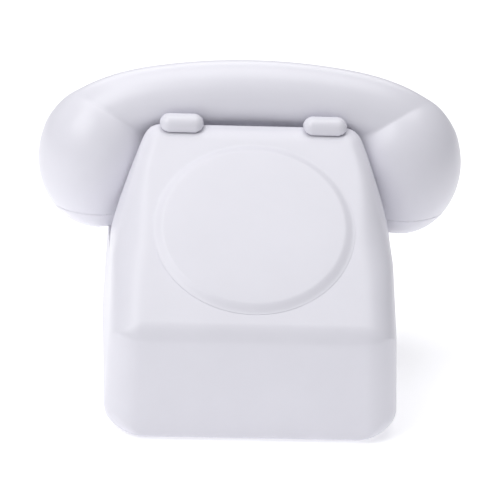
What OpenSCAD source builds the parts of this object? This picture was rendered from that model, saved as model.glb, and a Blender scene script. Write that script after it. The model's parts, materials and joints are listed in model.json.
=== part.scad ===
// Compact one-colour desk telephone: wedge body with a plain round plate where a dial would sit,
// a banana-shaped handset whose ends hang beside the body, a plunging two-saddle cradle,
// a hook switch, a two-gong ringer and a network board.
// X runs along the handset, -Y is the front, +Z is up. The feet stand on z = 0.

/* [Body] */
// Half width of the body at its front corners, at waist height
front_half = 66.5; // [65:0.5:69]
// Half width of the body at its rear corners, at waist height
rear_half = 71; // [70:0.5:74]
// How much further each side reaches at the base than at the waist
flare = 3; // [2:0.5:4]
// Half depth of the body
half_depth = 75; // [75:0.5:77]
// Height of the sharp ridge between the lower front and the sloped face
ridge_z = 54.4; // [51:0.1:57]
// Height of the sharp top front edge
top_z = 123.9; // [123:0.1:125]
// Distance of the top front edge behind the body's centre
top_y = 21; // [20:0.1:22]
// Wall thickness of the housing
wall = 2.6; // [2.2:0.1:3]
// Radius of the vertical corners
corner_r = 15; // [12:0.5:16]

/* [Feet and base] */
// Height of the housing's rim over the table
rim_z = 1; // [0.8:0.1:1.6]
// Thickness of the steel base plate
plate_t = 1.6; // [1.2:0.1:2]
// Radius of a foot
foot_r = 7; // [6:0.5:8]

/* [Dial plate] */
// Radius of the round plate
plate_r = 48.2; // [47:0.1:49]
// How far the plate stands proud of the face
plate_proud = 1.9; // [1.4:0.1:2.4]
// Distance of the plate's centre from the ridge, along the face
plate_up = 58.9; // [58:0.1:60]

/* [Handset] */
// Half distance between the two ear and mouth cups
cup_x = 75.6; // [75:0.1:76]
// Radius of a cup, seen from above
cup_r = 30; // [29:0.5:30]
// Half height of a cup
cup_h = 36; // [35:0.5:36]
// Height of the cups' centres
cup_z = 98.5; // [98:0.5:99]
// Radius of the handle
grip_r = 17.4; // [17:0.1:17.8]
// Height of the handle's middle
grip_z = 132.3; // [132:0.1:133]
// Distance of the handle behind the body's centre
grip_y = 45; // [45:0.5:45.5]
// Radius of the handle's slow bend
bend_r = 277; // [270:1:285]
// Radius of the handle's tighter bends into the cups
neck_r = 80; // [76:1:84]

/* [Cradle] */
// Distance of each saddle from the middle
saddle_x = 35; // [34.5:0.1:35.5]
// Width of a front horn
horn_w = 22.5; // [21:0.5:23]
// Width of a saddle
saddle_w = 15; // [13:0.5:15]

/* [Hidden] */
$fn = 64;
eps = 0.01;
fit = 0.05;                     // running clearance of pins
front_y = -half_depth;
lean = 1;                       // the lower front leans back this much
ridge_y = front_y + lean;
face_angle = atan2(top_z - ridge_z, top_y - ridge_y);
lip_y = 25.3;                   // rear of the top lip
trough_z = 104;                 // floor of the hand recess behind the lip
shoulder_y = 66;                // rear end of the recess floor
pocket_r = cup_r + 1.5;
pocket_z = cup_z - cup_h - 2.5; // floor of the pockets that the cups hang in
bottom_r = 11;                  // round of the lower edges, seen from the front
front_r = 2.5;                  // round of the lower front edge, seen from the side
waist_z = 60;                   // the sides lean out below this height, and in above it
taper_z = 71;                   // they curve in above this height
taper_in = 13;                  // and by this much at taper_top
taper_top = 118;
taper_power = 1.3;
plate_z = 2.4;                  // underside of the base plate
deck_z = plate_z + plate_t;
base_x = 55;
base_y = 62;
boss_x = 47;
boss_y = 55;
white = [0.90, 0.89, 0.93];

// ---------- outlines ----------
function arc(cy, cz, r, a0, a1, n = 5) =
    [for (i = [0:n]) let (a = a0 + (a1 - a0) * i / n) [cy + r * cos(a), cz + r * sin(a)]];
function side_half(z) = rear_half + flare * (waist_z - z) / waist_z
    - taper_in * pow(max(0, z - taper_z) / (taper_top - taper_z), taper_power);
// Side outline (y, z), shrunk by t
module side_outline(t, floor_z) {
    face_in = t / cos(face_angle);
    slope = tan(face_angle);
    ridge_in_y = ridge_y + t;
    ridge_in_z = ridge_z + slope * t - face_in;
    turn = 90 - face_angle;
    round_r = 6 - t;
    reach = round_r * tan(turn / 2);
    upper = t > 0 ? [[ridge_in_y + (trough_z - t - ridge_in_z) / slope, trough_z - t]]
                  : concat([[top_y - 3.5, top_z - 3.5 * slope]],
                           [[top_y - 1, top_z - 1.7], [top_y + 1.6, top_z]],
                           [[lip_y - 1, top_z], [lip_y, top_z - 1], [lip_y, trough_z]]);
    polygon(concat(
        [[-half_depth + front_r, floor_z]],
        t > 0 ? [[-half_depth + t, floor_z]]
              : arc(-half_depth + front_r, rim_z + front_r, front_r, 250, 184),
        arc(ridge_in_y + round_r, ridge_in_z - reach, round_r, 180, 180 - turn, 4),
        upper,
        arc(shoulder_y - 6, trough_z - 6, 6 - t, 90, 8, 4),
        [[half_depth - t, 48], [half_depth - t, floor_z + 5], [half_depth - t - 3, floor_z]]));
}
// Front outline (x, z), shrunk by t
module front_outline(t, floor_z) {
    side = [for (i = [0:8]) let (z = taper_z + (taper_top - taper_z) * i / 8) [side_half(z) - t, z]];
    lower = t > 0 ? [[side_half(floor_z) - t, floor_z]]
                  : arc(side_half(bottom_r) - bottom_r, rim_z + bottom_r, bottom_r, 270, 360, 6);
    top_r = 2 * (top_z - taper_top);
    top = t > 0 ? [[side_half(taper_top) - t, top_z]]
                : arc(side_half(taper_top) - top_r * cos(30), top_z - top_r, top_r, 38, 90, 4);
    half = concat(lower, side, top);
    polygon(concat(half, [for (i = [len(half) - 1:-1:0]) [-half[i][0], half[i][1]]]));
}
// Plan outline at the base (x, y), shrunk by t
module plan_outline(t) {
    r = corner_r - t;
    front = arc(front_half + flare - corner_r, front_y + corner_r, r, -90, -3);
    rear = arc(rear_half + flare - corner_r, half_depth - corner_r, r, -3, 90);
    half = concat(front, rear);
    polygon(concat(half, [for (i = [len(half) - 1:-1:0]) [-half[i][0], half[i][1]]]));
}
// Everything inside the right side's leaning plane, shrunk by t
module right_side(t) {
    spread = atan((rear_half - front_half) / (2 * half_depth));
    translate([front_half - t, front_y, waist_z])
        rotate([0, 0, -spread])
            rotate([0, -atan(flare / waist_z), 0])
                translate([-200, -50, -100])
                    cube([200, 260, 200]);
}
module body_solid(t, floor_z) {
    intersection() {
        right_side(t);
        mirror([1, 0, 0])
            right_side(t);
        rotate([90, 0, 90])
            translate([0, 0, -90])
                linear_extrude(180)
                    side_outline(t, floor_z);
        rotate([90, 0, 0])
            translate([0, 0, -90])
                linear_extrude(180)
                    front_outline(t, floor_z);
        linear_extrude(140)
            plan_outline(t);
    }
}
// Places children on both sides, with x mirrored
module both_sides() {
    children();
    mirror([1, 0, 0])
        children();
}
module at_corners(x, y) {
    for (sx = [-1, 1], sy = [-1, 1])
        translate([sx * x, sy * y, 0])
            children();
}
module on_face(up) {
    translate([0, ridge_y + up * cos(face_angle), ridge_z + up * sin(face_angle)])
        rotate([face_angle, 0, 0])
            children();
}
module rounded_bar(size, r) {
    linear_extrude(size[2])
        union() {
            translate([-size[0] / 2 + r, -size[1] / 2])
                square([size[0] - 2 * r, size[1]]);
            translate([-size[0] / 2, -size[1] / 2 + r])
                square([size[0], size[1] - 2 * r]);
            for (sx = [-1, 1], sy = [-1, 1])
                translate([sx * (size[0] / 2 - r), sy * (size[1] / 2 - r)])
                    circle(r);
        }
}
module screw(head_r, head_h, shank_r, length) {
    difference() {
        union() {
            translate([0, 0, -head_h])
                cylinder(r = head_r, h = head_h);
            translate([0, 0, -eps])
                cylinder(r = shank_r, h = length);
        }
        translate([-head_r, -0.3, -head_h - eps])
            cube([2 * head_r, 0.6, head_h * 0.5]);
    }
}

// ---------- body ----------
hub_r = 40;                     // round opening in the face behind the plate
jack_x = 18;
jack_w = 14;
jack_z = deck_z + 1.2;
jack_h = 12;
stem_x = 34;
stem_w = 8;
stem_d = 6;
stud_ring = 32;
stud_angles = [20, 160, 270];
stud_r = 1.5;
module housing() {
    color(white)
        difference() {
            body_solid(0, rim_z);
            // the hollow, less what stands in it
            difference() {
                body_solid(wall, deck_z + 0.3);
                both_sides()
                    translate([cup_x, grip_y, pocket_z - wall])
                        cylinder(r = pocket_r + wall, h = 100);
                at_corners(boss_x, boss_y)
                    cylinder(r = 4.5, h = 120);
            }
            // the mouth that the base plate closes
            translate([0, 0, rim_z - 1])
                rounded_bar([2 * base_x + 0.6, 2 * base_y + 0.6, deck_z + 0.4 - rim_z + 1], 8);
            both_sides()
                translate([cup_x, grip_y, pocket_z])
                    cylinder(r = pocket_r, h = 100);
            at_corners(boss_x, boss_y)
                cylinder(r = 1.3, h = 22);
            on_face(plate_up)
                translate([0, 0, -15])
                    cylinder(r = hub_r, h = 30);
            // room for the stems in the recess floor
            both_sides()
                translate([stem_x - stem_w / 2 - 0.8, grip_y - stem_d / 2 - 0.8, trough_z - 10])
                    cube([stem_w + 1.6, stem_d + 1.6, 20]);
            both_sides()
                translate([jack_x - jack_w / 2 - 0.1, 60, jack_z - 0.1])
                    cube([jack_w + 0.2, 30, jack_h + 0.2]);
        }
}
foot_x = 46;
foot_y = 44;
gong_x = 27;
gong_y = 40;
wheel_x = -38;
wheel_y = 5;
wheel_r = 9.5;
wheel_z = 10.6;
leg_x = 14;
leg_y = 18;
board_y = -38;
module base_plate() {
    color([0.55, 0.56, 0.58])
        difference() {
            translate([0, 0, plate_z])
                rounded_bar([2 * base_x, 2 * base_y, plate_t], 7.7);
            at_corners(boss_x, boss_y)
                cylinder(r = 1.8, h = 10);
            at_corners(foot_x, foot_y)
                cylinder(r = 2, h = 10);
            // sound slots under the gongs
            for (sx = [-1, 1], i = [-1:1])
                translate([sx * gong_x, gong_y + i * 6, 0])
                    rounded_bar([18, 2.4, 10], 1.1);
            translate([wheel_x - 8.5, wheel_y - 2.4, 0])
                cube([17, 4.8, 10]);
        }
}
module rubber_feet() {
    color([0.80, 0.79, 0.82])
        at_corners(foot_x, foot_y) {
            cylinder(r1 = foot_r - 0.6, r2 = foot_r, h = plate_z - fit);
            translate([0, 0, plate_z - 0.5])
                cylinder(r = 1.9, h = plate_t + 1.4);
        }
}
module base_screws() {
    color("silver")
        at_corners(boss_x, boss_y)
            translate([0, 0, plate_z - 0.02])
                screw(3.2, 1.2, 1.2, 18);
}

// ---------- plain round plate ----------
module dial_plate() {
    edge_r = 1.7;
    color(white)
        on_face(plate_up)
            union() {
                translate([0, 0, fit])
                    rotate_extrude($fn = 96)
                        union() {
                            square([plate_r - edge_r, plate_proud]);
                            square([plate_r, plate_proud - edge_r]);
                            intersection() {
                                translate([plate_r - edge_r, plate_proud - edge_r])
                                    circle(edge_r);
                                square([plate_r, plate_proud]);
                            }
                        }
                // the ring that centres the plate in the bore
                translate([0, 0, -2.4])
                    difference() {
                        cylinder(r = hub_r - 0.2, h = 3);
                        translate([0, 0, -1])
                            cylinder(r = hub_r - 2.4, h = 3.2);
                    }
                for (a = stud_angles)
                    rotate(a)
                        translate([stud_ring, 0, -9])
                            cylinder(r = stud_r, h = 10);
            }
}
module dial_plate_nuts() {
    color("silver")
        on_face(plate_up)
            for (a = stud_angles)
                rotate(a)
                    difference() {
                        translate([stud_ring - 4, -4, -3.6])
                            cube([14.5, 8, 0.8]);
                        translate([stud_ring, 0, -8])
                            cylinder(r = stud_r + fit, h = 10);
                    }
}

// ---------- cradle ----------
saddle_z = grip_z - 2.2;        // height of the handle's centre line over the saddles
saddle_gap = 0.35;              // air between a saddle and the handle
saddle_t = 3.3;                 // thickness of a saddle under the handle
seat_gap = 0.3;                 // air between a horn and the housing at rest
horn_y = [17, 28];              // front and rear of a front horn
horn_top = 129;
tail_y = [61, 67];              // front and rear of a rear horn
tail_z = 120;
yoke_top = 96;
yoke_t = 4;
bend_a = 9.3;                   // the slow bend reaches this many degrees each way
neck_a = 37.5;                  // and each tighter bend goes on to this many
neck_more = 0.5;
neck_x = (bend_r - neck_r) * sin(bend_a);
neck_z = grip_z - bend_r + (bend_r - neck_r) * cos(bend_a);
// The handle's slow bend as a tube of radius r
module slow_bend(r) {
    translate([0, grip_y, grip_z - bend_r])
        rotate([90, 0, 0])
            rotate([0, 0, 90 - bend_a - 1])
                rotate_extrude(angle = 2 * bend_a + 2, $fn = 180)
                    translate([bend_r, 0])
                        circle(r, $fn = 48);
}
// The same with the tighter bends, up to the given angle; they are a little thicker
module grip_tube(r, end_a = neck_a) {
    slow_bend(r);
    both_sides()
        translate([neck_x, grip_y, neck_z])
            rotate([90, 0, 0])
                rotate([0, 0, 90 - end_a])
                    rotate_extrude(angle = end_a - bend_a - 1.4, $fn = 90)
                        translate([neck_r, 0])
                            circle(r + neck_more, $fn = 48);
}
// A block from y0 to y1 and z0 to z1, rounded in plan and along its top ends
module horn(y0, y1, z0, z1) {
    end_r = 4;
    translate([saddle_x, (y0 + y1) / 2, z0])
        intersection() {
            rounded_bar([horn_w, y1 - y0, z1 - z0], 2.9);
            translate([0, 20, 0])
                rotate([90, 0, 0])
                    union() {
                        translate([-horn_w / 2 + end_r, 0, 0])
                            cube([horn_w - 2 * end_r, z1 - z0, 40]);
                        translate([-horn_w / 2, 0, 0])
                            cube([horn_w, z1 - z0 - end_r, 40]);
                        for (sx = [-1, 1])
                            translate([sx * (horn_w / 2 - end_r), z1 - z0 - end_r, 0])
                                cylinder(r = end_r, h = 40);
                    }
        }
}
module cradle_rest() {
    color(white)
        difference() {
            union() {
                translate([saddle_x - saddle_w / 2, 0, 0])
                    rotate([90, 0, 90])
                        linear_extrude(saddle_w)
                            intersection() {
                                translate([grip_y, saddle_z])
                                    circle(grip_r + saddle_t);
                                translate([lip_y + 0.5, 90])
                                    square([60, horn_top - 95]);
                            }
                // the front horn hooks over the lip, and its foot follows the sloped face
                difference() {
                    horn(horn_y[0], horn_y[1], 118, horn_top);
                    on_face(0)
                        translate([0, 0, seat_gap - 40])
                            cube([90, norm([top_y - ridge_y, top_z - ridge_z]), 40]);
                    translate([0, top_y - 0.1, 110])
                        cube([90, lip_y + 0.6 - top_y, top_z + seat_gap - 110]);
                }
                horn(tail_y[0], tail_y[1], tail_z, horn_top);
                translate([stem_x - stem_w / 2, grip_y - stem_d / 2, yoke_top])
                    cube([stem_w, stem_d, 18]);
            }
            slow_bend(grip_r + saddle_gap);
            translate([stem_x, grip_y, yoke_top - 1])
                cylinder(r = 1.2, h = 9);
        }
}
module cradle_rest_right() {
    cradle_rest();
}
module cradle_rest_left() {
    mirror([1, 0, 0])
        cradle_rest();
}
module cradle_yoke() {
    color([0.75, 0.76, 0.78])
        difference() {
            translate([0, grip_y, yoke_top - yoke_t])
                rounded_bar([79, 9, yoke_t - 0.02], 2);
            both_sides()
                translate([stem_x, grip_y, 80])
                    cylinder(r = 1.6, h = 30);
        }
}
module yoke_screws() {
    color("silver")
        both_sides()
            translate([stem_x, grip_y, yoke_top - yoke_t - 0.03])
                screw(2.6, 1.2, 1.1, 11);
}
shelf_z = 68;
shelf_t = 1.5;
spring_r = 4.8;
module cradle_spring() {
    // helix of round wire with a ring every 26 degrees
    turns = 5;
    steps = 70;
    sides = 6;
    wire = 0.5;
    z0 = shelf_z + shelf_t + wire + 0.1;
    z1 = yoke_top - yoke_t - wire - 0.1;
    points = [for (i = [0:steps], j = [0:sides - 1])
        let (a = 360 * turns * i / steps, b = 360 * j / sides, r = spring_r + wire * cos(b))
            [r * cos(a), grip_y + r * sin(a), z0 + (z1 - z0) * i / steps + wire * sin(b)]];
    skin = [for (i = [0:steps - 1], j = [0:sides - 1])
        let (k = (j + 1) % sides, a = i * sides)
            [a + j, a + sides + j, a + sides + k, a + k]];
    start = [for (j = [0:sides - 1]) j];
    end = [for (j = [sides - 1:-1:0]) steps * sides + j];
    color("silver")
        polyhedron(points, concat(skin, [start, end]));
}

// ---------- hook switch ----------
pivot_y = 18;
pivot_z = 82;
pin_r = 1.25;
module switch_bracket() {
    color([0.70, 0.71, 0.72])
        difference() {
            union() {
                both_sides()
                    translate([leg_x, leg_y - 4, deck_z]) {
                        cube([1.5, 8, 84]);
                        cube([9, 8, 1.5]);
                    }
                translate([-leg_x - 1, leg_y - 4, shelf_z])
                    cube([2 * leg_x + 2, 38, shelf_t]);
                translate([0, grip_y, shelf_z + 1])
                    cylinder(r = 3, h = 11);
            }
            translate([-30, pivot_y, pivot_z])
                rotate([0, 90, 0])
                    cylinder(r = pin_r, h = 60);
        }
}
module lever_pin() {
    color("silver")
        translate([-leg_x - 2.5, pivot_y, pivot_z])
            rotate([0, 90, 0])
                cylinder(r = pin_r - 0.01, h = 2 * leg_x + 5);
}
arm_tip = grip_y + 1.5;
module hook_lever() {
    color([0.20, 0.20, 0.22])
        difference() {
            union() {
                translate([-12, pivot_y, pivot_z])
                    rotate([0, 90, 0])
                        cylinder(r = 3.5, h = 24);
                both_sides()
                    translate([8, pivot_y, pivot_z - 1.5]) {
                        cube([3, arm_tip - pivot_y, 3]);
                        translate([0, arm_tip - pivot_y - 3, 0])
                            cube([3, 3, yoke_top - yoke_t - 0.35 - pivot_z + 1.5]);
                    }
                translate([-3, pivot_y - 1, pivot_z - 11])
                    cube([6, 2, 10]);
            }
            translate([-20, pivot_y, pivot_z])
                rotate([0, 90, 0])
                    cylinder(r = pin_r + fit, h = 40);
        }
}
module contact_block() {
    color([0.35, 0.22, 0.16])
        translate([-6, 22, shelf_z + shelf_t + 0.02])
            difference() {
                cube([12, 11, 3.6]);
                for (i = [0:2])
                    translate([0.8, 1 + 3.4 * i - 0.05, -1])
                        cube([10.4, 0.6, 6]);
            }
}
module contact_leaves() {
    color([0.85, 0.72, 0.40])
        for (i = [0:2])
            translate([-5, 23 + 3.4 * i, shelf_z + shelf_t + 0.1])
                cube([10, 0.5, 8]);
}

// ---------- network board ----------
board_z = 11;
board_w = 80;
module at_board_corners() {
    for (sx = [-1, 1], sy = [-1, 1])
        translate([sx * 35, board_y + sy * 21, 0])
            children();
}
module network_board() {
    color([0.45, 0.33, 0.20])
        difference() {
            translate([0, board_y, board_z])
                rounded_bar([board_w, 52, 1.6], 2);
            at_board_corners()
                cylinder(r = 1.6, h = 40);
        }
}
module board_standoffs() {
    color([0.72, 0.64, 0.36])
        at_board_corners()
            difference() {
                translate([0, 0, deck_z])
                    cylinder(r = 3, h = board_z - deck_z - 0.02);
                translate([0, 0, deck_z + 1])
                    cylinder(r = 1.25, h = 20);
            }
}
module board_screws() {
    color("silver")
        at_board_corners()
            translate([0, 0, board_z + 1.65])
                mirror([0, 0, 1])
                    screw(2.6, 1.3, 1.15, 6);
}
module induction_coil() {
    translate([-20, board_y - 2, board_z + 1.65]) {
        color([0.30, 0.31, 0.33])
            difference() {
                translate([-14, -11, 0])
                    cube([28, 22, 20]);
                translate([-9, -12, 4])
                    cube([18, 24, 12]);
            }
        color([0.62, 0.35, 0.18])
            translate([0, 0, 3.9])
                rounded_bar([17.8, 28, 12.2], 3);
    }
}
module capacitor() {
    color([0.76, 0.66, 0.30])
        translate([26, board_y - 14, board_z + 1.6 + 7.1])
            rotate([-90, 0, 0])
                union() {
                    cylinder(r = 7, h = 26);
                    translate([0, 0, -1])
                        cylinder(r = 6.2, h = 28);
                }
}
module terminal_strip() {
    color([0.18, 0.18, 0.20])
        difference() {
            translate([-32, board_y + 14.4, board_z + 1.65])
                cube([64, 8, 6]);
            for (i = [0:7])
                translate([-28 + 8 * i, board_y + 18.4, board_z + 3])
                    cylinder(r = 1.6, h = 10);
        }
}
module terminal_screws() {
    color([0.80, 0.70, 0.40])
        for (i = [0:7])
            translate([-28 + 8 * i, board_y + 18.4, board_z + 7.7])
                mirror([0, 0, 1])
                    screw(2.8, 1.2, 1.5, 4);
}

// ---------- ringer ----------
gong_r = 20;
gong_z = 21;
frame_z = 13;
clapper_y = 14;
module ringer_frame() {
    color([0.62, 0.63, 0.65])
        difference() {
            union() {
                translate([-11, -9, frame_z])
                    cube([22, 26, 1.5]);
                both_sides()
                    translate([9.5, -9, deck_z])
                        cube([1.5, 14, frame_z - deck_z + 1]);
            }
            translate([0, clapper_y, 0])
                cylinder(r = 1.25, h = 30);
        }
}
module gong_posts() {
    color([0.62, 0.63, 0.65])
        both_sides()
            translate([gong_x, gong_y, deck_z])
                difference() {
                    cylinder(r = 4, h = gong_z + 4.95 - deck_z);
                    translate([0, 0, 4])
                        cylinder(r = 1.25, h = 30);
                }
}
module ringer_coil() {
    color([0.60, 0.30, 0.16])
        translate([-11, -1, frame_z + 1.55 + 7.5])
            rotate([0, 90, 0])
                union() {
                    cylinder(r = 6.4, h = 22);
                    for (z = [0, 20.6])
                        translate([0, 0, z])
                            cylinder(r = 7.5, h = 1.4);
                }
}
module gong() {
    dome = 5;
    color([0.78, 0.70, 0.50])
        translate([gong_x, gong_y, gong_z])
            difference() {
                rotate_extrude($fn = 96)
                    difference() {
                        union() {
                            square([gong_r - dome, 6.2]);
                            square([gong_r, 6.2 - dome]);
                            translate([gong_r - dome, 6.2 - dome])
                                circle(dome);
                        }
                        translate([0, -10])
                            square([gong_r - 1.2, 11]);
                        square([gong_r - dome - 1, 5]);
                        translate([0, -10])
                            square([30, 10]);
                    }
                translate([0, 0, -5])
                    cylinder(r = 1.6, h = 20);
            }
}
module gong_right() {
    gong();
}
module gong_left() {
    mirror([1, 0, 0])
        gong();
}
module gong_screws() {
    color("silver")
        both_sides()
            translate([gong_x, gong_y, gong_z + 6.25])
                mirror([0, 0, 1])
                    screw(3.2, 1.6, 1.15, 12);
}
module clapper_pin() {
    color("silver")
        translate([0, clapper_y, frame_z + 0.02 - 1])
            cylinder(r = 1.24, h = 14);
}
module clapper() {
    color([0.80, 0.70, 0.40])
        difference() {
            union() {
                translate([0, clapper_y, frame_z + 1.8])
                    cylinder(r = 3, h = 8);
                translate([-1, clapper_y, gong_z + 0.5])
                    cube([2, gong_y - clapper_y, 1.2]);
                translate([0, gong_y, gong_z - 1])
                    cylinder(r = 4, h = 5);
            }
            translate([0, clapper_y, 0])
                cylinder(r = 1.24 + fit, h = 60);
        }
}
module wheel_bracket() {
    color([0.62, 0.63, 0.65])
        difference() {
            translate([wheel_x - 5, wheel_y - 5.5, deck_z])
                cube([10, 11, 18.5]);
            translate([wheel_x - 6, wheel_y - 4, deck_z - 1])
                cube([12, 8, 18]);
            translate([wheel_x, wheel_y - 10, wheel_z])
                rotate([-90, 0, 0])
                    cylinder(r = pin_r, h = 20);
        }
}
module wheel_pin() {
    color("silver")
        translate([wheel_x, wheel_y - 6.2, wheel_z])
            rotate([-90, 0, 0])
                cylinder(r = pin_r - 0.01, h = 12.4);
}
module volume_wheel() {
    teeth = 24;
    color([0.25, 0.25, 0.27])
        translate([wheel_x, wheel_y - 1.6, wheel_z])
            rotate([-90, 0, 0])
                difference() {
                    cylinder(r = wheel_r, h = 3.2);
                    for (i = [0:teeth - 1])
                        rotate(i * 360 / teeth)
                            translate([wheel_r + 0.5, 0, -1])
                                cylinder(r = 0.9, h = 6);
                    translate([0, 0, -1])
                        cylinder(r = pin_r - 0.01 + fit, h = 6);
                }
}

// ---------- sockets ----------
module socket(w, d, h, hole_w, hole_h) {
    difference() {
        cube([w, d, h]);
        translate([(w - hole_w) / 2, 2, (h - hole_h) / 2])
            cube([hole_w, d, hole_h]);
        translate([(w - 3.4) / 2, 4, (h - hole_h) / 2 - 1.2])
            cube([3.4, d, 2]);
    }
}
module line_jack() {
    color([0.86, 0.85, 0.88])
        translate([-jack_x - jack_w / 2, 60.5, jack_z])
            socket(jack_w, 13.7, jack_h, 9.8, 6.9);
}
module handset_jack() {
    color([0.86, 0.85, 0.88])
        translate([jack_x - jack_w / 2, 60.5, jack_z])
            socket(jack_w, 13.7, jack_h, 7.8, 6.9);
}

// ---------- handset ----------
split_z = cup_z - 22;           // seam between a cup and its screw cap
bore_r = 20;
bay_top = cup_z + 10;
channel_r = 10;                 // the handle is hollow, for the leads
lead_a = 33;                    // each lead turns down into its cup at this angle
lead_x = neck_x + neck_r * sin(lead_a);
lead_z = neck_z + neck_r * cos(lead_a);
socket_z = cup_z + 4;
module cup_solid() {
    steps = 20;
    translate([cup_x, grip_y, cup_z])
        rotate_extrude($fn = 128)
            polygon([for (i = [0:steps]) let (a = -90 + 180 * i / steps)
                [i == 0 || i == steps ? 0 : cup_r * cos(a), cup_h * sin(a)]]);
}
module handset_outer() {
    both_sides()
        cup_solid();
    grip_tube(grip_r);
    both_sides()
        translate([neck_x + neck_r * sin(neck_a), grip_y, neck_z + neck_r * cos(neck_a)])
            sphere(grip_r + 1.4);
}
module handset_shell() {
    color(white)
        difference() {
            handset_outer();
            both_sides() {
                translate([0, 0, -1])
                    cube([120, 120, split_z + 1]);
                translate([cup_x, grip_y, split_z - 1])
                    cylinder(r = bore_r, h = bay_top - split_z + 1);
            }
            grip_tube(channel_r);
            translate([-cup_x - 5.7, 61, socket_z - 4.7])
                cube([11.4, 30, 9.4]);
        }
}
module cap() {
    color(white)
        difference() {
            union() {
                difference() {
                    cup_solid();
                    translate([0, 0, split_z - 0.12])
                        cube([120, 120, 120]);
                }
                translate([cup_x, grip_y, split_z - 1])
                    cylinder(r = bore_r - 0.2, h = 7);
            }
            translate([cup_x, grip_y, split_z - 3.5])
                cylinder(r = bore_r - 2.6, h = 30);
            translate([cup_x, grip_y, split_z - 9])
                cylinder(r = 11.5, h = 30);
            translate([cup_x, grip_y, 50])
                cylinder(r = 1.1, h = 40);
            for (ring = [4.5, 9], i = [0:5])
                translate([cup_x, grip_y, 50])
                    rotate(60 * i + 4 * ring)
                        translate([ring, 0, 0])
                            cylinder(r = 1.1, h = 40);
        }
}
module receiver_cap() {
    cap();
}
module transmitter_cap() {
    mirror([1, 0, 0])
        cap();
}
capsule_z = split_z + 6.2;
lead_r = 1.2;
module capsule(h) {
    translate([cup_x, grip_y, capsule_z])
        union() {
            cylinder(r = bore_r - 0.6, h = 4);
            cylinder(r = bore_r - 4, h = h);
        }
}
module receiver_capsule() {
    color([0.72, 0.73, 0.75])
        capsule(12);
}
module transmitter_capsule() {
    color([0.60, 0.58, 0.40])
        mirror([1, 0, 0])
            capsule(10);
}
module handset_leads() {
    color([0.70, 0.12, 0.12])
        union() {
            grip_tube(lead_r, lead_a);
            both_sides()
                translate([lead_x, grip_y, capsule_z + 12.1])
                    cylinder(r = lead_r, h = lead_z - capsule_z - 12.1);
        }
}
module handset_socket() {
    color([0.86, 0.85, 0.88])
        translate([-cup_x - 5.6, 61.2, socket_z - 4.6])
            socket(11.2, 12.6, 9.2, 7.8, 6.4);
}

housing();
base_plate();
rubber_feet();
base_screws();
dial_plate();
dial_plate_nuts();
cradle_rest_left();
cradle_rest_right();
cradle_yoke();
yoke_screws();
cradle_spring();
switch_bracket();
lever_pin();
hook_lever();
contact_block();
contact_leaves();
network_board();
board_standoffs();
board_screws();
induction_coil();
capacitor();
terminal_strip();
terminal_screws();
ringer_frame();
ringer_coil();
gong_posts();
gong_left();
gong_right();
gong_screws();
clapper_pin();
clapper();
wheel_bracket();
wheel_pin();
volume_wheel();
line_jack();
handset_jack();
handset_shell();
receiver_cap();
transmitter_cap();
receiver_capsule();
transmitter_capsule();
handset_leads();
handset_socket();
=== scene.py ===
"""A compact one-colour desk telephone: moulded shells as smooth meshes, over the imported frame.

Shapes are signed distance fields in millimetres, negative inside, in the frame's own axes.
"""
import json
import math

import bmesh
import bpy
import numpy as np
from mathutils import Matrix, Vector


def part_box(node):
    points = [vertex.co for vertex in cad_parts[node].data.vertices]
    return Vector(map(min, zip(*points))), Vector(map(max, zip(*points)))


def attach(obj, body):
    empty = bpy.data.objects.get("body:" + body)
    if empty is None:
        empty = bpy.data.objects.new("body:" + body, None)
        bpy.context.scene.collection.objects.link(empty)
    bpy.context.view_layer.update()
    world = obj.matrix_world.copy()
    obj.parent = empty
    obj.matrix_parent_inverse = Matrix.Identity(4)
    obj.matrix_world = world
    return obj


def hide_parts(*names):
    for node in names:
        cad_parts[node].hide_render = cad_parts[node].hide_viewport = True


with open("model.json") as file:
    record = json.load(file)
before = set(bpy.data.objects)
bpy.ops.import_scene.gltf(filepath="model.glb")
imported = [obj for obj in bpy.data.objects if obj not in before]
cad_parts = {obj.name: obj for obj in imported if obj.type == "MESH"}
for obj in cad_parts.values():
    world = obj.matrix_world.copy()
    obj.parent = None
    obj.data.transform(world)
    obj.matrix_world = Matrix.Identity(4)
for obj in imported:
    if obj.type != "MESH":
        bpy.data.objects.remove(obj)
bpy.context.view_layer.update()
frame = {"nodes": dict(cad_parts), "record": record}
MM = 0.001


# ---------- sizes, from the frame where it holds them (mm) ----------
def box_mm(node):
    low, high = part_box(node)
    return np.array(low) / MM, np.array(high) / MM


BODY_LOW, BODY_HIGH = box_mm("housing")
SHELL_LOW, SHELL_HIGH = box_mm("handset_shell")
REST_LOW, REST_HIGH = box_mm("cradle_rest_right")
CAP_LOW, CAP_HIGH = box_mm("receiver_cap")

DEPTH = BODY_HIGH[1]            # half depth of the body
RIM = BODY_LOW[2]
TOP = BODY_HIGH[2]
FRONT_HALF, REAR_HALF = 66.5, 71.0   # half widths at waist height
WAIST, FLARE = 60.0, 3.0        # the sides reach this much further at the base
TAPER_Z, TAPER_SPAN, TAPER_IN = 71.2, 46.8, 13.0
WALL = 2.6
CORNER = 15.0                   # round of the upright corners
RIDGE = np.array([-DEPTH + 1, 54.4])
TOP_EDGE = np.array([21.0, TOP])
LIP = 25.3
TROUGH = 104.0
CUP = np.array([75.6, 45.0, 98.5])
CUP_R, CUP_H = 30.0, 36.0
GRIP_R, GRIP_Z, BEND_R = 17.4, 132.3, 277.0
NECK_R, NECK_MORE = 80.4, 1.7   # the tighter bends, which thicken towards the cups
BEND, NECK_END = math.radians(9.33), math.radians(37.4)
NECK = np.array([(BEND_R - NECK_R) * math.sin(BEND),
                 GRIP_Z - BEND_R + (BEND_R - NECK_R) * math.cos(BEND)])
CHANNEL_R = 10.0                # the handle is hollow
POCKET_R, POCKET_Z = CUP_R + 1.5, CUP[2] - CUP_H - 2.5
SEAM = CUP[2] - 22
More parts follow.
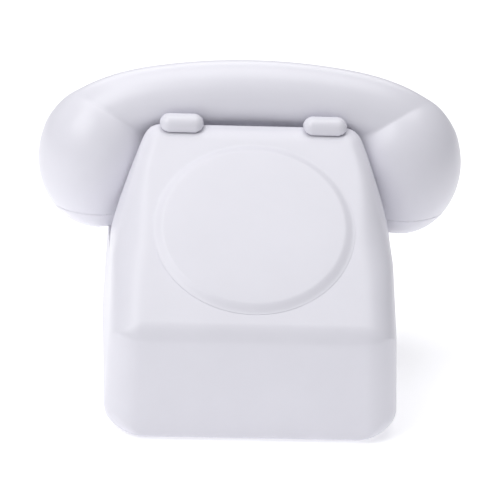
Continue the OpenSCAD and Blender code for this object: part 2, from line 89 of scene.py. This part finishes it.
BORE = 20.0
REST_X, HORN_HALF, HORN_TOP = 35.0, 10.8, 129.0
HORN_FRONT, HORN_REAR = 16.8, 28.0
HORN_LOW = 118.0                # the front horn's foot, before it is cut to the face
TAIL_Y, TAIL_HALF, TAIL_LOW = 64.0, 3.0, 120.0
SADDLE_HALF, SADDLE_T, SADDLE_DROP = 7.5, 3.3, 2.2
REST_GAP, SEAT_GAP = 0.35, 0.3  # air under the handle, and over the lip
STEM = ([30, 42, 96], [38, 48, 114])
STEM_SLOT = ([29.2, 41.2, 94], [38.8, 48.8, 114])
JACK_SLOT = ([10.9, 60, 5.1], [25.1, 90, 17.3])
SOCKET_HALF, SOCKET_UP, SOCKET_Y = 5.7, np.array([-0.7, 8.7]), np.array([61, 90])
BAY_UP = 10.0                   # the bay's ceiling over the middle of its cup
BOSS = np.array([47.0, 55.0])
BOSS_R, PILOT_R, PILOT_TOP = 4.5, 1.3, 22.0
MOUTH, MOUTH_R, MOUTH_TOP = np.array([55.3, 62.3]), 8.0, 4.4
FACE_BORE_R = 40.0
CAP_WELLS = ((17.4, 3.5), (11.5, 9.0))   # radius, and depth below the seam
SOUND_R = 1.1
SOUND_RINGS = ((4.5, 18.0), (9.0, 36.0))  # radius, and turn in degrees
FACE_ANGLE = math.atan2(TOP_EDGE[1] - RIDGE[1], TOP_EDGE[0] - RIDGE[0])
PLATE_UP, PLATE_R, PLATE_H = 58.9, 48.2, 1.9
PLATE_EDGE, SPIGOT = 5.6, 39.8
FACE_UP = np.array([0, math.cos(FACE_ANGLE), math.sin(FACE_ANGLE)])
FACE_OUT = np.array([0, -math.sin(FACE_ANGLE), math.cos(FACE_ANGLE)])
PLATE_AT = np.array([0, *RIDGE]) + PLATE_UP * FACE_UP


# ---------- distance fields ----------
def cut_round(parts, r):
    """Intersection of several fields, with its edges rounded by r."""
    inner = parts[0]
    for p in parts[1:]:
        inner = np.maximum(inner, p)
    total = sum(np.square(np.maximum(p + r, 0)) for p in parts)
    return np.minimum(inner, -r) + np.sqrt(total)


def join_round(a, b, r):
    """Union of two fields, with a fillet of r in the crease."""
    h = np.maximum(r - np.abs(a - b), 0) / r
    return np.minimum(a, b) - h * h * r * 0.25


def block(x, y, z, low, high):
    """Distance to an axis-aligned box."""
    mid, half = (np.array(low) + np.array(high)) / 2, (np.array(high) - np.array(low)) / 2
    return np.maximum(np.maximum(abs(x - mid[0]) - half[0], abs(y - mid[1]) - half[1]),
                      abs(z - mid[2]) - half[2])


def ramp(v, low, high):
    t = np.clip((v - low) / (high - low), 0, 1)
    return t * t * (3 - 2 * t)


def face_plane(y, z):
    """Distance out from the plane of the sloped face."""
    return (y - RIDGE[0]) * FACE_OUT[1] + (z - RIDGE[1]) * FACE_OUT[2]


def body_form(x, y, z):
    """The outside of the housing, with its recess and pockets, before slots are cut."""
    ax = abs(x)
    lean = (RIDGE[0] + DEPTH) / (RIDGE[1] - RIM)
    front = (-DEPTH + lean * (z - RIM)) - y
    profile = cut_round([front, face_plane(y, z)], 4.5)
    profile = cut_round([profile, z - TOP], 5.0)
    half = FRONT_HALF + (REAR_HALF - FRONT_HALF) * (y + DEPTH) / (2 * DEPTH)
    half = half + FLARE * (WAIST - z) / WAIST
    inward = TAPER_IN * np.power(np.maximum(z - TAPER_Z, 0) / TAPER_SPAN, 1.3)
    side = (ax - half + inward) * 0.985
    rear = np.maximum(y - DEPTH, (y - DEPTH + 1) * 0.985 + (z - WAIST) * 0.15)
    body = cut_round([profile, side, rear], CORNER - 8 * ramp(z, 80, 112))
    body = cut_round([body, RIM - z], 2 + 9 * ramp(ax, 50, 66))
    # the hand recess behind the lip
    step = np.minimum(y - LIP, z - TROUGH)
    body = cut_round([body, step], 1.6 + 4.4 * ramp(y, 34, 60))
    # the pockets that the cups hang in
    ring = np.hypot(ax - CUP[0], y - CUP[1]) - POCKET_R
    pocket = cut_round([ring, POCKET_Z - z], 5.0)
    return cut_round([body, -pocket], 1.3)


def body_field(x, y, z):
    form = body_form(x, y, z)
    ax = abs(x)
    off_boss = np.hypot(ax - BOSS[0], abs(y) - BOSS[1])
    hollow = np.maximum(np.maximum(form + WALL, BOSS_R - off_boss), MOUTH_TOP - 0.1 - z)
    shell = np.maximum(form, -hollow)
    mouth = cut_round([ax - MOUTH[0], abs(y) - MOUTH[1]], MOUTH_R)
    shell = np.maximum(shell, -np.maximum(mouth, z - MOUTH_TOP))
    for slot in (STEM_SLOT, JACK_SLOT):
        shell = cut_round([shell, -block(ax, y, z, *slot)], 0.35)
    up = y * FACE_UP[1] + z * FACE_UP[2] - PLATE_AT @ FACE_UP
    bore = np.maximum(np.hypot(x, up) - FACE_BORE_R, abs(face_plane(y, z)) - 12)
    screws = np.maximum(off_boss - PILOT_R, z - PILOT_TOP)
    return np.maximum(np.maximum(shell, -bore), -screws)


def grip_field(x, y, z, shrink=0.0):
    """The handle: a slow bend that goes on into a tighter bend at each side."""
    ax = abs(x)
    slow = np.minimum(np.arctan2(ax, z - (GRIP_Z - BEND_R)), BEND)
    sideways = ax - BEND_R * np.sin(slow)
    upward = z - (GRIP_Z - BEND_R) - BEND_R * np.cos(slow)
    middle = np.sqrt(np.square(sideways) + np.square(y - CUP[1]) + np.square(upward)) - GRIP_R
    turn = np.clip(np.arctan2(ax - NECK[0], z - NECK[1]), BEND, NECK_END)
    sideways = ax - NECK[0] - NECK_R * np.sin(turn)
    upward = z - NECK[1] - NECK_R * np.cos(turn)
    radius = GRIP_R + NECK_MORE * ramp(turn, BEND, NECK_END)
    neck = np.sqrt(np.square(sideways) + np.square(y - CUP[1]) + np.square(upward)) - radius
    return np.minimum(middle, neck) + shrink


def handset_field(x, y, z):
    ax = abs(x)
    k0 = np.sqrt(np.square((ax - CUP[0]) / CUP_R) + np.square((y - CUP[1]) / CUP_R)
                 + np.square((z - CUP[2]) / CUP_H)) + 1e-6
    k1 = np.sqrt(np.square((ax - CUP[0]) / CUP_R**2) + np.square((y - CUP[1]) / CUP_R**2)
                 + np.square((z - CUP[2]) / CUP_H**2)) + 1e-9
    lobe = k0 * (k0 - 1) / k1
    return join_round(grip_field(x, y, z), lobe, 0.3 + 4.2 * (1 - ramp(z, 112, 124)))


def handset_shell_field(x, y, z):
    outer = handset_field(x, y, z)
    bay = np.maximum(np.hypot(abs(x) - CUP[0], y - CUP[1]) - BORE, z - (CUP[2] + BAY_UP))
    socket_z = CUP[2] + SOCKET_UP
    socket = block(x, y, z, [-CUP[0] - SOCKET_HALF, SOCKET_Y[0], socket_z[0]],
                   [-CUP[0] + SOCKET_HALF, SOCKET_Y[1], socket_z[1]])
    hollow = np.minimum(bay, grip_field(x, y, z, GRIP_R - CHANNEL_R))
    return cut_round([np.maximum(outer, -hollow), -socket], 0.4)


def cap_field(x, y, z):
    outer = handset_field(x, y, z)
    dx, dy = x - CUP[0], y - CUP[1]
    r = np.hypot(dx, dy)
    collar = np.maximum(r - (BORE - 0.2), np.maximum(SEAM - 1 - z, z - SEAM - 6))
    solid = np.minimum(np.maximum(outer, z - SEAM + 0.12), collar)
    hollow = np.minimum(*[np.maximum(r - well, SEAM - deep - z) for well, deep in CAP_WELLS])
    angle = np.arctan2(dy, dx)
    holes = r - SOUND_R
    step = math.radians(60)
    for ring, turn in SOUND_RINGS:
        a = (angle - math.radians(turn) + step / 2) % step - step / 2
        holes = np.minimum(holes, np.hypot(r * np.cos(a) - ring, r * np.sin(a)) - SOUND_R)
    return np.maximum(np.maximum(solid, -hollow), -holes)


def rest_field(x, y, z):
    """A saddle under the handle, with a horn hooked over the lip and one behind."""
    dx = abs(x - REST_X)
    front = cut_round([dx - HORN_HALF, HORN_FRONT - y, y - HORN_REAR, z - HORN_TOP,
                       HORN_LOW - z], 5.0)
    back = cut_round([dx - HORN_HALF, abs(y - TAIL_Y) - TAIL_HALF, z - HORN_TOP,
                      TAIL_LOW - z], 2.6)
    ring = np.hypot(y - CUP[1], z - (GRIP_Z - SADDLE_DROP)) - (GRIP_R + SADDLE_T)
    saddle = cut_round([dx - SADDLE_HALF, ring, z - TOP, LIP + 0.5 - y], 1.2)
    stem = block(x, y, z, *STEM)
    solid = join_round(np.minimum(join_round(front, saddle, 2), stem), back, 2)
    seat = np.maximum(np.maximum(face_plane(y, z), z - TOP), y - LIP) - SEAT_GAP
    return cut_round([np.maximum(solid, -seat), -grip_field(x, y, z, -REST_GAP)], 0.5)


# ---------- fields to meshes ----------
def surface(field, low, high, step):
    """A closed quad mesh on the field's zero level (surface nets), points moved onto it."""
    low = np.floor(np.array(low) - 2 * step)
    counts = np.ceil((np.array(high) + 2 * step - low) / step).astype(int) + 1
    axes = [(low[k] + step * np.arange(counts[k])).astype(np.float32) for k in range(3)]
    x, y, z = np.meshgrid(*axes, indexing="ij", sparse=True)
    f = (field(x, y, z) + np.zeros(counts, np.float32)).astype(np.float32)
    inside = f < 0
    size = np.array(f.shape)

    def cell(i):
        return (i[:, 0] * size[1] + i[:, 1]) * size[2] + i[:, 2]

    total = np.zeros((int(np.prod(size)), 3), np.float32)
    number = np.zeros(int(np.prod(size)), np.int32)
    quads = []
    for k in range(3):
        one = np.zeros(3, int)
        one[k] = 1
        a = tuple(slice(0, size[j] - one[j]) for j in range(3))
        b = tuple(slice(one[j], size[j]) for j in range(3))
        idx = np.argwhere(inside[a] != inside[b])
        fa, fb = f[tuple(idx.T)], f[tuple((idx + one).T)]
        at = idx + (fa / (fa - fb))[:, None] * one
        u, v = np.eye(3, dtype=int)[(k + 1) % 3], np.eye(3, dtype=int)[(k + 2) % 3]
        ring = [idx - u - v, idx - v, idx, idx - u]
        for corner in ring:
            c = cell(corner)
            for j in range(3):
                total[:, j] += np.bincount(c, at[:, j], len(total)).astype(np.float32)
            number += np.bincount(c, minlength=len(number)).astype(np.int32)
        quad = np.stack([cell(c) for c in ring], 1)
        quad[fa > fb] = quad[fa > fb][:, ::-1]
        quads.append(quad)
    used = np.flatnonzero(number)
    points = low + step * (total[used] / number[used][:, None]).astype(np.float64)
    index = np.zeros(len(number), np.int64)
    index[used] = np.arange(len(used))
    faces = index[np.concatenate(quads)][:, ::-1]
    h = 0.02                    # step of the field's slope
    for _ in range(2):
        px, py, pz = points.T
        f0 = field(px, py, pz)
        g = np.stack([field(px + h, py, pz) - f0, field(px, py + h, pz) - f0,
                      field(px, py, pz + h) - f0], 1) / h
        move = -f0[:, None] * g / np.maximum(np.sum(g * g, 1), 0.25)[:, None]
        length = np.linalg.norm(move, axis=1)
        points += move * np.minimum(1, 0.45 * step / np.maximum(length, 1e-9))[:, None]
    return points, faces


def piece(name, points, faces, sharp=38):
    mesh = bpy.data.meshes.new(name)
    mesh.vertices.add(len(points))
    mesh.vertices.foreach_set("co", (points * MM).astype(np.float32).ravel())
    mesh.loops.add(faces.size)
    mesh.loops.foreach_set("vertex_index", faces.astype(np.int32).ravel())
    mesh.polygons.add(len(faces))
    starts = np.arange(0, faces.size, faces.shape[1], dtype=np.int32)
    mesh.polygons.foreach_set("loop_start", starts)
    mesh.update(calc_edges=True)
    mesh.validate()
    mesh.polygons.foreach_set("use_smooth", np.ones(len(mesh.polygons), bool))
    mesh.set_sharp_from_angle(angle=math.radians(sharp))
    obj = bpy.data.objects.new(name, mesh)
    bpy.context.scene.collection.objects.link(obj)
    return obj


def mirrored(points, faces):
    return points * [-1, 1, 1], faces[:, ::-1]


def lathe(profile, count=192):
    """Points and faces of a profile (r, z) turned about Z; both ends lie on the axis."""
    rings = [(r, h) for r, h in profile if r > 0]
    angle = np.linspace(0, 2 * math.pi, count, endpoint=False)
    points = [[0, 0, profile[0][1]]]
    for r, h in rings:
        points += [[r * math.cos(a), r * math.sin(a), h] for a in angle]
    points.append([0, 0, profile[-1][1]])
    faces = []
    for j in range(count):
        k = (j + 1) % count
        faces.append([0, 1 + k, 1 + j])
        for i in range(len(rings) - 1):
            a, b = 1 + i * count, 1 + (i + 1) * count
            faces.append([a + j, a + k, b + k, b + j])
        a = 1 + (len(rings) - 1) * count
        faces.append([a + j, a + k, len(points) - 1])
    return np.array(points), faces


def lathe_piece(name, profile, matrix, count=192):
    points, faces = lathe(profile, count)
    mesh = bpy.data.meshes.new(name)
    mesh.from_pydata((points * MM).tolist(), [], faces)
    mesh.transform(matrix)
    for p in mesh.polygons:
        p.use_smooth = True
    mesh.set_sharp_from_angle(angle=math.radians(50))
    bm = bmesh.new()
    bm.from_mesh(mesh)
    bmesh.ops.recalc_face_normals(bm, faces=bm.faces)
    bm.to_mesh(mesh)
    bm.free()
    obj = bpy.data.objects.new(name, mesh)
    bpy.context.scene.collection.objects.link(obj)
    return obj


# ---------- materials ----------
def material(name, colour, roughness, metallic=0.0, **sockets):
    m = bpy.data.materials.new(name)
    m.use_nodes = True
    shader = m.node_tree.nodes["Principled BSDF"]
    shader.inputs["Base Color"].default_value = (*colour, 1)
    shader.inputs["Roughness"].default_value = roughness
    shader.inputs["Metallic"].default_value = metallic
    for key, value in sockets.items():
        shader.inputs[key.replace("_", " ")].default_value = value
    return m, m.node_tree, shader


def add(tree, kind, **values):
    node = tree.nodes.new(kind)
    for key, value in values.items():
        if key in node.inputs:
            node.inputs[key].default_value = value
        else:
            setattr(node, key, value)
    return node


def textured(name, colour, roughness, metallic=0.0, spread=0.03, rough_spread=0.06, scale=60.0,
             grain=0.05, grain_scale=900.0, stretch=(1, 1, 1)):
    """A surface with a little drift in colour and gloss, and a fine grain in its relief."""
    m, tree, shader = material(name, colour, roughness, metallic)
    where = add(tree, "ShaderNodeTexCoord")
    turn = add(tree, "ShaderNodeMapping", Scale=stretch)
    tree.links.new(where.outputs["Object"], turn.inputs["Vector"])
    drift = add(tree, "ShaderNodeTexNoise", Scale=scale, Detail=3.0, Roughness=0.55)
    tree.links.new(turn.outputs["Vector"], drift.inputs["Vector"])
    tint = add(tree, "ShaderNodeValToRGB")
    low, high = tint.color_ramp.elements
    low.position, high.position = 0.3, 0.7
    low.color = (*[c * (1 - spread) for c in colour], 1)
    high.color = (*[min(1, c * (1 + spread)) for c in colour], 1)
    tree.links.new(drift.outputs["Fac"], tint.inputs["Fac"])
    tree.links.new(tint.outputs["Color"], shader.inputs["Base Color"])
    gloss = add(tree, "ShaderNodeMapRange")
    gloss.inputs["From Min"].default_value = 0.3
    gloss.inputs["From Max"].default_value = 0.7
    gloss.inputs["To Min"].default_value = roughness - rough_spread
    gloss.inputs["To Max"].default_value = roughness + rough_spread
    tree.links.new(drift.outputs["Fac"], gloss.inputs["Value"])
    tree.links.new(gloss.outputs["Result"], shader.inputs["Roughness"])
    fine = add(tree, "ShaderNodeTexNoise", Scale=grain_scale, Detail=4.0, Roughness=0.6)
    tree.links.new(turn.outputs["Vector"], fine.inputs["Vector"])
    bump = add(tree, "ShaderNodeBump", Strength=grain, Distance=0.0004)
    tree.links.new(fine.outputs["Fac"], bump.inputs["Height"])
    tree.links.new(bump.outputs["Normal"], shader.inputs["Normal"])
    return m


WHITE = (0.80, 0.793, 0.855)


def make_materials():
    return {
        "body_plastic": textured("body_plastic", WHITE, 0.36, spread=0.012, rough_spread=0.015,
                                 scale=38, grain=0.06, grain_scale=700),
        "handset_plastic": textured("handset_plastic", WHITE, 0.32, spread=0.012,
                                    rough_spread=0.012, scale=34, grain=0.05, grain_scale=700),
        "cradle_plastic": textured("cradle_plastic", WHITE, 0.32, spread=0.012,
                                   rough_spread=0.015, scale=60, grain=0.05, grain_scale=900),
        "socket_plastic": textured("socket_plastic", (0.74, 0.73, 0.78), 0.5, grain=0.1),
        "foot_rubber": textured("foot_rubber", (0.60, 0.59, 0.63), 0.85, spread=0.06, grain=0.25,
                                grain_scale=1600),
        "base_steel": textured("base_steel", (0.42, 0.43, 0.45), 0.42, 0.4, spread=0.05, grain=0.12,
                               grain_scale=1200),
        "bracket_steel": textured("bracket_steel", (0.56, 0.57, 0.59), 0.34, 1.0, spread=0.08,
                                  stretch=(1, 12, 1), grain=0.1, scale=120),
        "fastener_steel": textured("fastener_steel", (0.66, 0.66, 0.67), 0.25, 1.0, spread=0.06,
                                   scale=300, grain=0.06),
        "spring_steel": textured("spring_steel", (0.62, 0.62, 0.64), 0.22, 1.0, scale=400),
        "dark_moulding": textured("dark_moulding", (0.035, 0.035, 0.04), 0.48, spread=0.15,
                                  grain=0.12),
        "phenolic": textured("phenolic", (0.14, 0.06, 0.03), 0.5, spread=0.2, stretch=(1, 6, 1)),
        "board_laminate": textured("board_laminate", (0.26, 0.15, 0.07), 0.55, spread=0.15,
                                   scale=220, stretch=(6, 1, 1), grain=0.12),
        "contact_brass": textured("contact_brass", (0.78, 0.56, 0.24), 0.28, 1.0, spread=0.08),
        "coil_winding": textured("coil_winding", (0.42, 0.13, 0.04), 0.35, 0.5, spread=0.18,
                                 scale=500, stretch=(14, 1, 1), grain=0.5, grain_scale=260),
        "capacitor_case": textured("capacitor_case", (0.66, 0.42, 0.07), 0.3, spread=0.06),
        "gong_metal": textured("gong_metal", (0.74, 0.60, 0.34), 0.2, 1.0, spread=0.07, scale=90,
                               stretch=(1, 1, 6)),
        "receiver_metal": textured("receiver_metal", (0.68, 0.69, 0.71), 0.32, 1.0, spread=0.05),
        "transmitter_metal": textured("transmitter_metal", (0.55, 0.46, 0.24), 0.34, 1.0,
                                      spread=0.07),
        "lead_insulation": textured("lead_insulation", (0.42, 0.02, 0.015), 0.45, spread=0.08),
    }


# ---------- build ----------
COARSE = 1.0
FINE = 0.55
materials = make_materials()

slots = {row["node"]: row["material_slot"] for row in frame["record"]["subparts"]}
for name, obj in frame["nodes"].items():
    obj.data.materials.clear()
    obj.data.materials.append(materials[slots[name]])


def place(obj, body, node):
    """Rides obj on its body in the CAD node's place, with that node's material."""
    obj.data.materials.append(materials[slots[node]])
    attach(obj, body)
    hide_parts(node)


place(piece("housing_moulding", *surface(body_field, BODY_LOW, BODY_HIGH, COARSE)),
      "base", "housing")

cup_floor = np.array([SHELL_LOW[0], SHELL_LOW[1], CUP[2] - CUP_H])
handset = piece("handset_moulding", *surface(handset_shell_field, cup_floor, SHELL_HIGH, COARSE))
bm = bmesh.new()
bm.from_mesh(handset.data)
cut = bmesh.ops.bisect_plane(bm, geom=bm.verts[:] + bm.edges[:] + bm.faces[:],
                             plane_co=(0, 0, SEAM * MM), plane_no=(0, 0, -1), clear_outer=True)
rim = [e for e in cut["geom_cut"] if isinstance(e, bmesh.types.BMEdge)]
bmesh.ops.triangle_fill(bm, edges=rim, use_beauty=True)
bmesh.ops.recalc_face_normals(bm, faces=bm.faces)
bm.to_mesh(handset.data)
bm.free()
handset.data.set_sharp_from_angle(angle=math.radians(38))
place(handset, "handset", "handset_shell")

cap = surface(cap_field, CAP_LOW, CAP_HIGH, FINE)
# square the cap's rim off, so that its joint with the shell is a hairline
spots = cap[0]
outside = np.hypot(spots[:, 0] - CUP[0], spots[:, 1] - CUP[1]) > BORE + 1
spots[outside & (spots[:, 2] > SEAM - FINE), 2] = SEAM - 0.05
place(piece("ear_cap", *cap), "handset", "receiver_cap")
place(piece("mouth_cap", *mirrored(*cap)), "handset", "transmitter_cap")

rest = surface(rest_field, REST_LOW, REST_HIGH, FINE)
place(piece("cradle_rest_r", *rest), "cradle", "cradle_rest_right")
place(piece("cradle_rest_l", *mirrored(*rest)), "cradle", "cradle_rest_left")


def plate_profile():
    """Outline of the round plate from its underside's middle to its top's middle."""
    soft = [(PLATE_R - PLATE_EDGE * t, 0.2 + (PLATE_H - 0.2) * (3 * t * t - 2 * t**3))
            for t in np.linspace(0, 1, 14)]
    inner = SPIGOT - 2.2
    return ([(0, 0.05), (inner, 0.05), (inner, -2.4), (SPIGOT, -2.4), (SPIGOT, 0.05),
             (PLATE_R, 0.05)] + soft + [(30, PLATE_H + 0.03), (0, PLATE_H + 0.05)])


turn = Matrix.Translation(Vector(PLATE_AT * MM)) @ Matrix.Rotation(FACE_ANGLE, 4, "X")
place(lathe_piece("round_plate", plate_profile(), turn, 256), "base", "dial_plate")


# ---------- stage ----------
CAMERA_AWAY = 1.25
FLOOR_REACH = 4.0


def camera():
    """Long lens, about 21 degrees above the table and a little to the left."""
    data = bpy.data.cameras.new("camera")
    cam = bpy.data.objects.new("camera", data)
    bpy.context.scene.collection.objects.link(cam)
    yaw, rise, roll = math.radians(-2.49), math.radians(20.6), math.radians(2.16)
    back = Vector((math.sin(yaw) * math.cos(rise), -math.cos(yaw) * math.cos(rise), math.sin(rise)))
    aim = Vector((0, 0.0045, 0.080))
    cam.location = aim + back * CAMERA_AWAY
    cam.rotation_mode = "QUATERNION"
    cam.rotation_quaternion = ((-back).to_track_quat("-Z", "Y")
                               @ Matrix.Rotation(roll, 3, "Z").to_quaternion())
    data.sensor_width = 36
    data.lens = 184.54
    data.shift_x = -0.0027
    data.shift_y = -0.0542
    bpy.context.scene.camera = cam


def area_light(name, at, aim, size, power):
    data = bpy.data.lights.new(name, "AREA")
    data.shape = "RECTANGLE"
    data.size, data.size_y = size
    data.energy = power
    light = bpy.data.objects.new(name, data)
    light.location = at
    light.rotation_mode = "QUATERNION"
    light.rotation_quaternion = (Vector(aim) - Vector(at)).to_track_quat("-Z", "Y")
    bpy.context.scene.collection.objects.link(light)


def stage():
    mesh = bpy.data.meshes.new("floor")
    corners = [(sx * FLOOR_REACH, sy * FLOOR_REACH, 0) for sx, sy in
               ((-1, -1), (1, -1), (1, 1), (-1, 1))]
    mesh.from_pydata(corners, [], [(0, 1, 2, 3)])
    floor = bpy.data.objects.new("floor", mesh)
    bpy.context.scene.collection.objects.link(floor)
    paper, _, _ = material("floor_paper", (0.93, 0.93, 0.94), 0.9, Specular_IOR_Level=0.1,
                           Emission_Color=(1, 1, 1, 1), Emission_Strength=0.36)
    mesh.materials.append(paper)
    world = bpy.data.worlds.new("world")
    bpy.context.scene.world = world
    world.use_nodes = True
    world.node_tree.nodes["Background"].inputs["Color"].default_value = (0.95, 0.95, 1.0, 1)
    world.node_tree.nodes["Background"].inputs["Strength"].default_value = 0.23
    area_light("key", (-0.75, -0.5, 1.1), (0, 0, 0.08), (0.9, 0.9), 7.5)
    area_light("front", (-0.1, -1.3, 0.42), (0, 0, 0.1), (1.0, 0.4), 0.6)
    area_light("back", (0.0, 1.0, 0.75), (0, 0.04, 0.11), (1.2, 0.5), 3)
    area_light("top", (0.0, 0.2, 1.3), (0, 0, 0.08), (1.4, 0.9), 9)


camera()
stage()
bpy.context.scene.view_settings.view_transform = "Standard"
